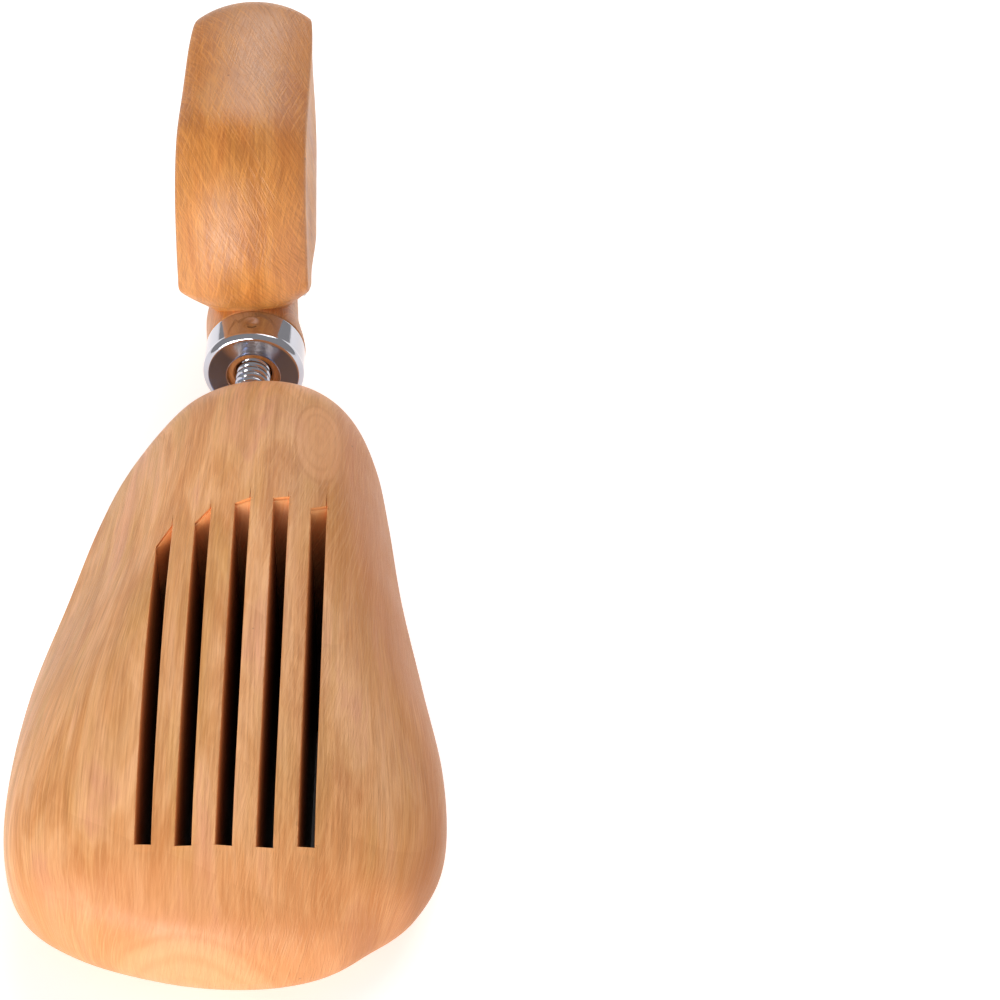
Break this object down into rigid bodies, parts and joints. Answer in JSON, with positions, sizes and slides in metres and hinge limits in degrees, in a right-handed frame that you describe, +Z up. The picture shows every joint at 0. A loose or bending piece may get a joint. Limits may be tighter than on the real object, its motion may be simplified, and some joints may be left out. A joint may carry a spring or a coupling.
{
  "type": "shoe tree",
  "caption": "Sprung wooden shoe tree: a slotted forefoot and a tall heel block joined by a screwed spindle, which keeps a shoe in shape while it dries.",
  "frame": {"origin": "on the flat sole's plane, straight below the spindle's axis, at the broad ball of the forefoot", "axes": "+Z up from the sole, +Y along the spindle from the toe to the heel, +X to the viewer's right when the toe points at them from below"},
  "size_m": [0.0938, 0.256, 0.0944],
  "materials": {
    "forefoot_wood": "sanded, satin",
    "heel_wood": "sanded, satin",
    "chrome_plate": "polished",
    "plain_steel": "turned",
    "spring_steel": "drawn wire"
  },
  "bodies": {
    "forefoot": {"forefoot_block": "forefoot_wood", "thread_insert": "plain_steel"},
    "washer": {"spring_washer": "plain_steel"},
    "spindle": {"spindle": "chrome_plate"},
    "heel": {"heel_block": "heel_wood", "ferrule": "chrome_plate", "cross_pin": "plain_steel", "spring_seat": "plain_steel", "compression_spring": "spring_steel"}
  },
  "joints": [
    {"name": "length_adjust", "type": "slide", "parent": "forefoot", "child": "washer", "axis": [0, 1, 0], "range_m": [-0.002, 0.016]},
    {"name": "heel_turn", "type": "hinge", "parent": "washer", "child": "spindle", "pos_m": [0, 0.118, 0.033], "axis": [0, 1, 0], "range_deg": [-360, 2880]},
    {"name": "spring_travel", "type": "slide", "parent": "spindle", "child": "heel", "axis": [0, -1, 0], "range_m": [0, 0.009], "stiffness_N_per_m": 1200, "springref_m": -0.005, "deforming": ["compression_spring"]}
  ],
  "couplings": [
    {"joint": "heel_turn", "follows": "length_adjust", "rad_per_m": 3141.6}
  ]
}
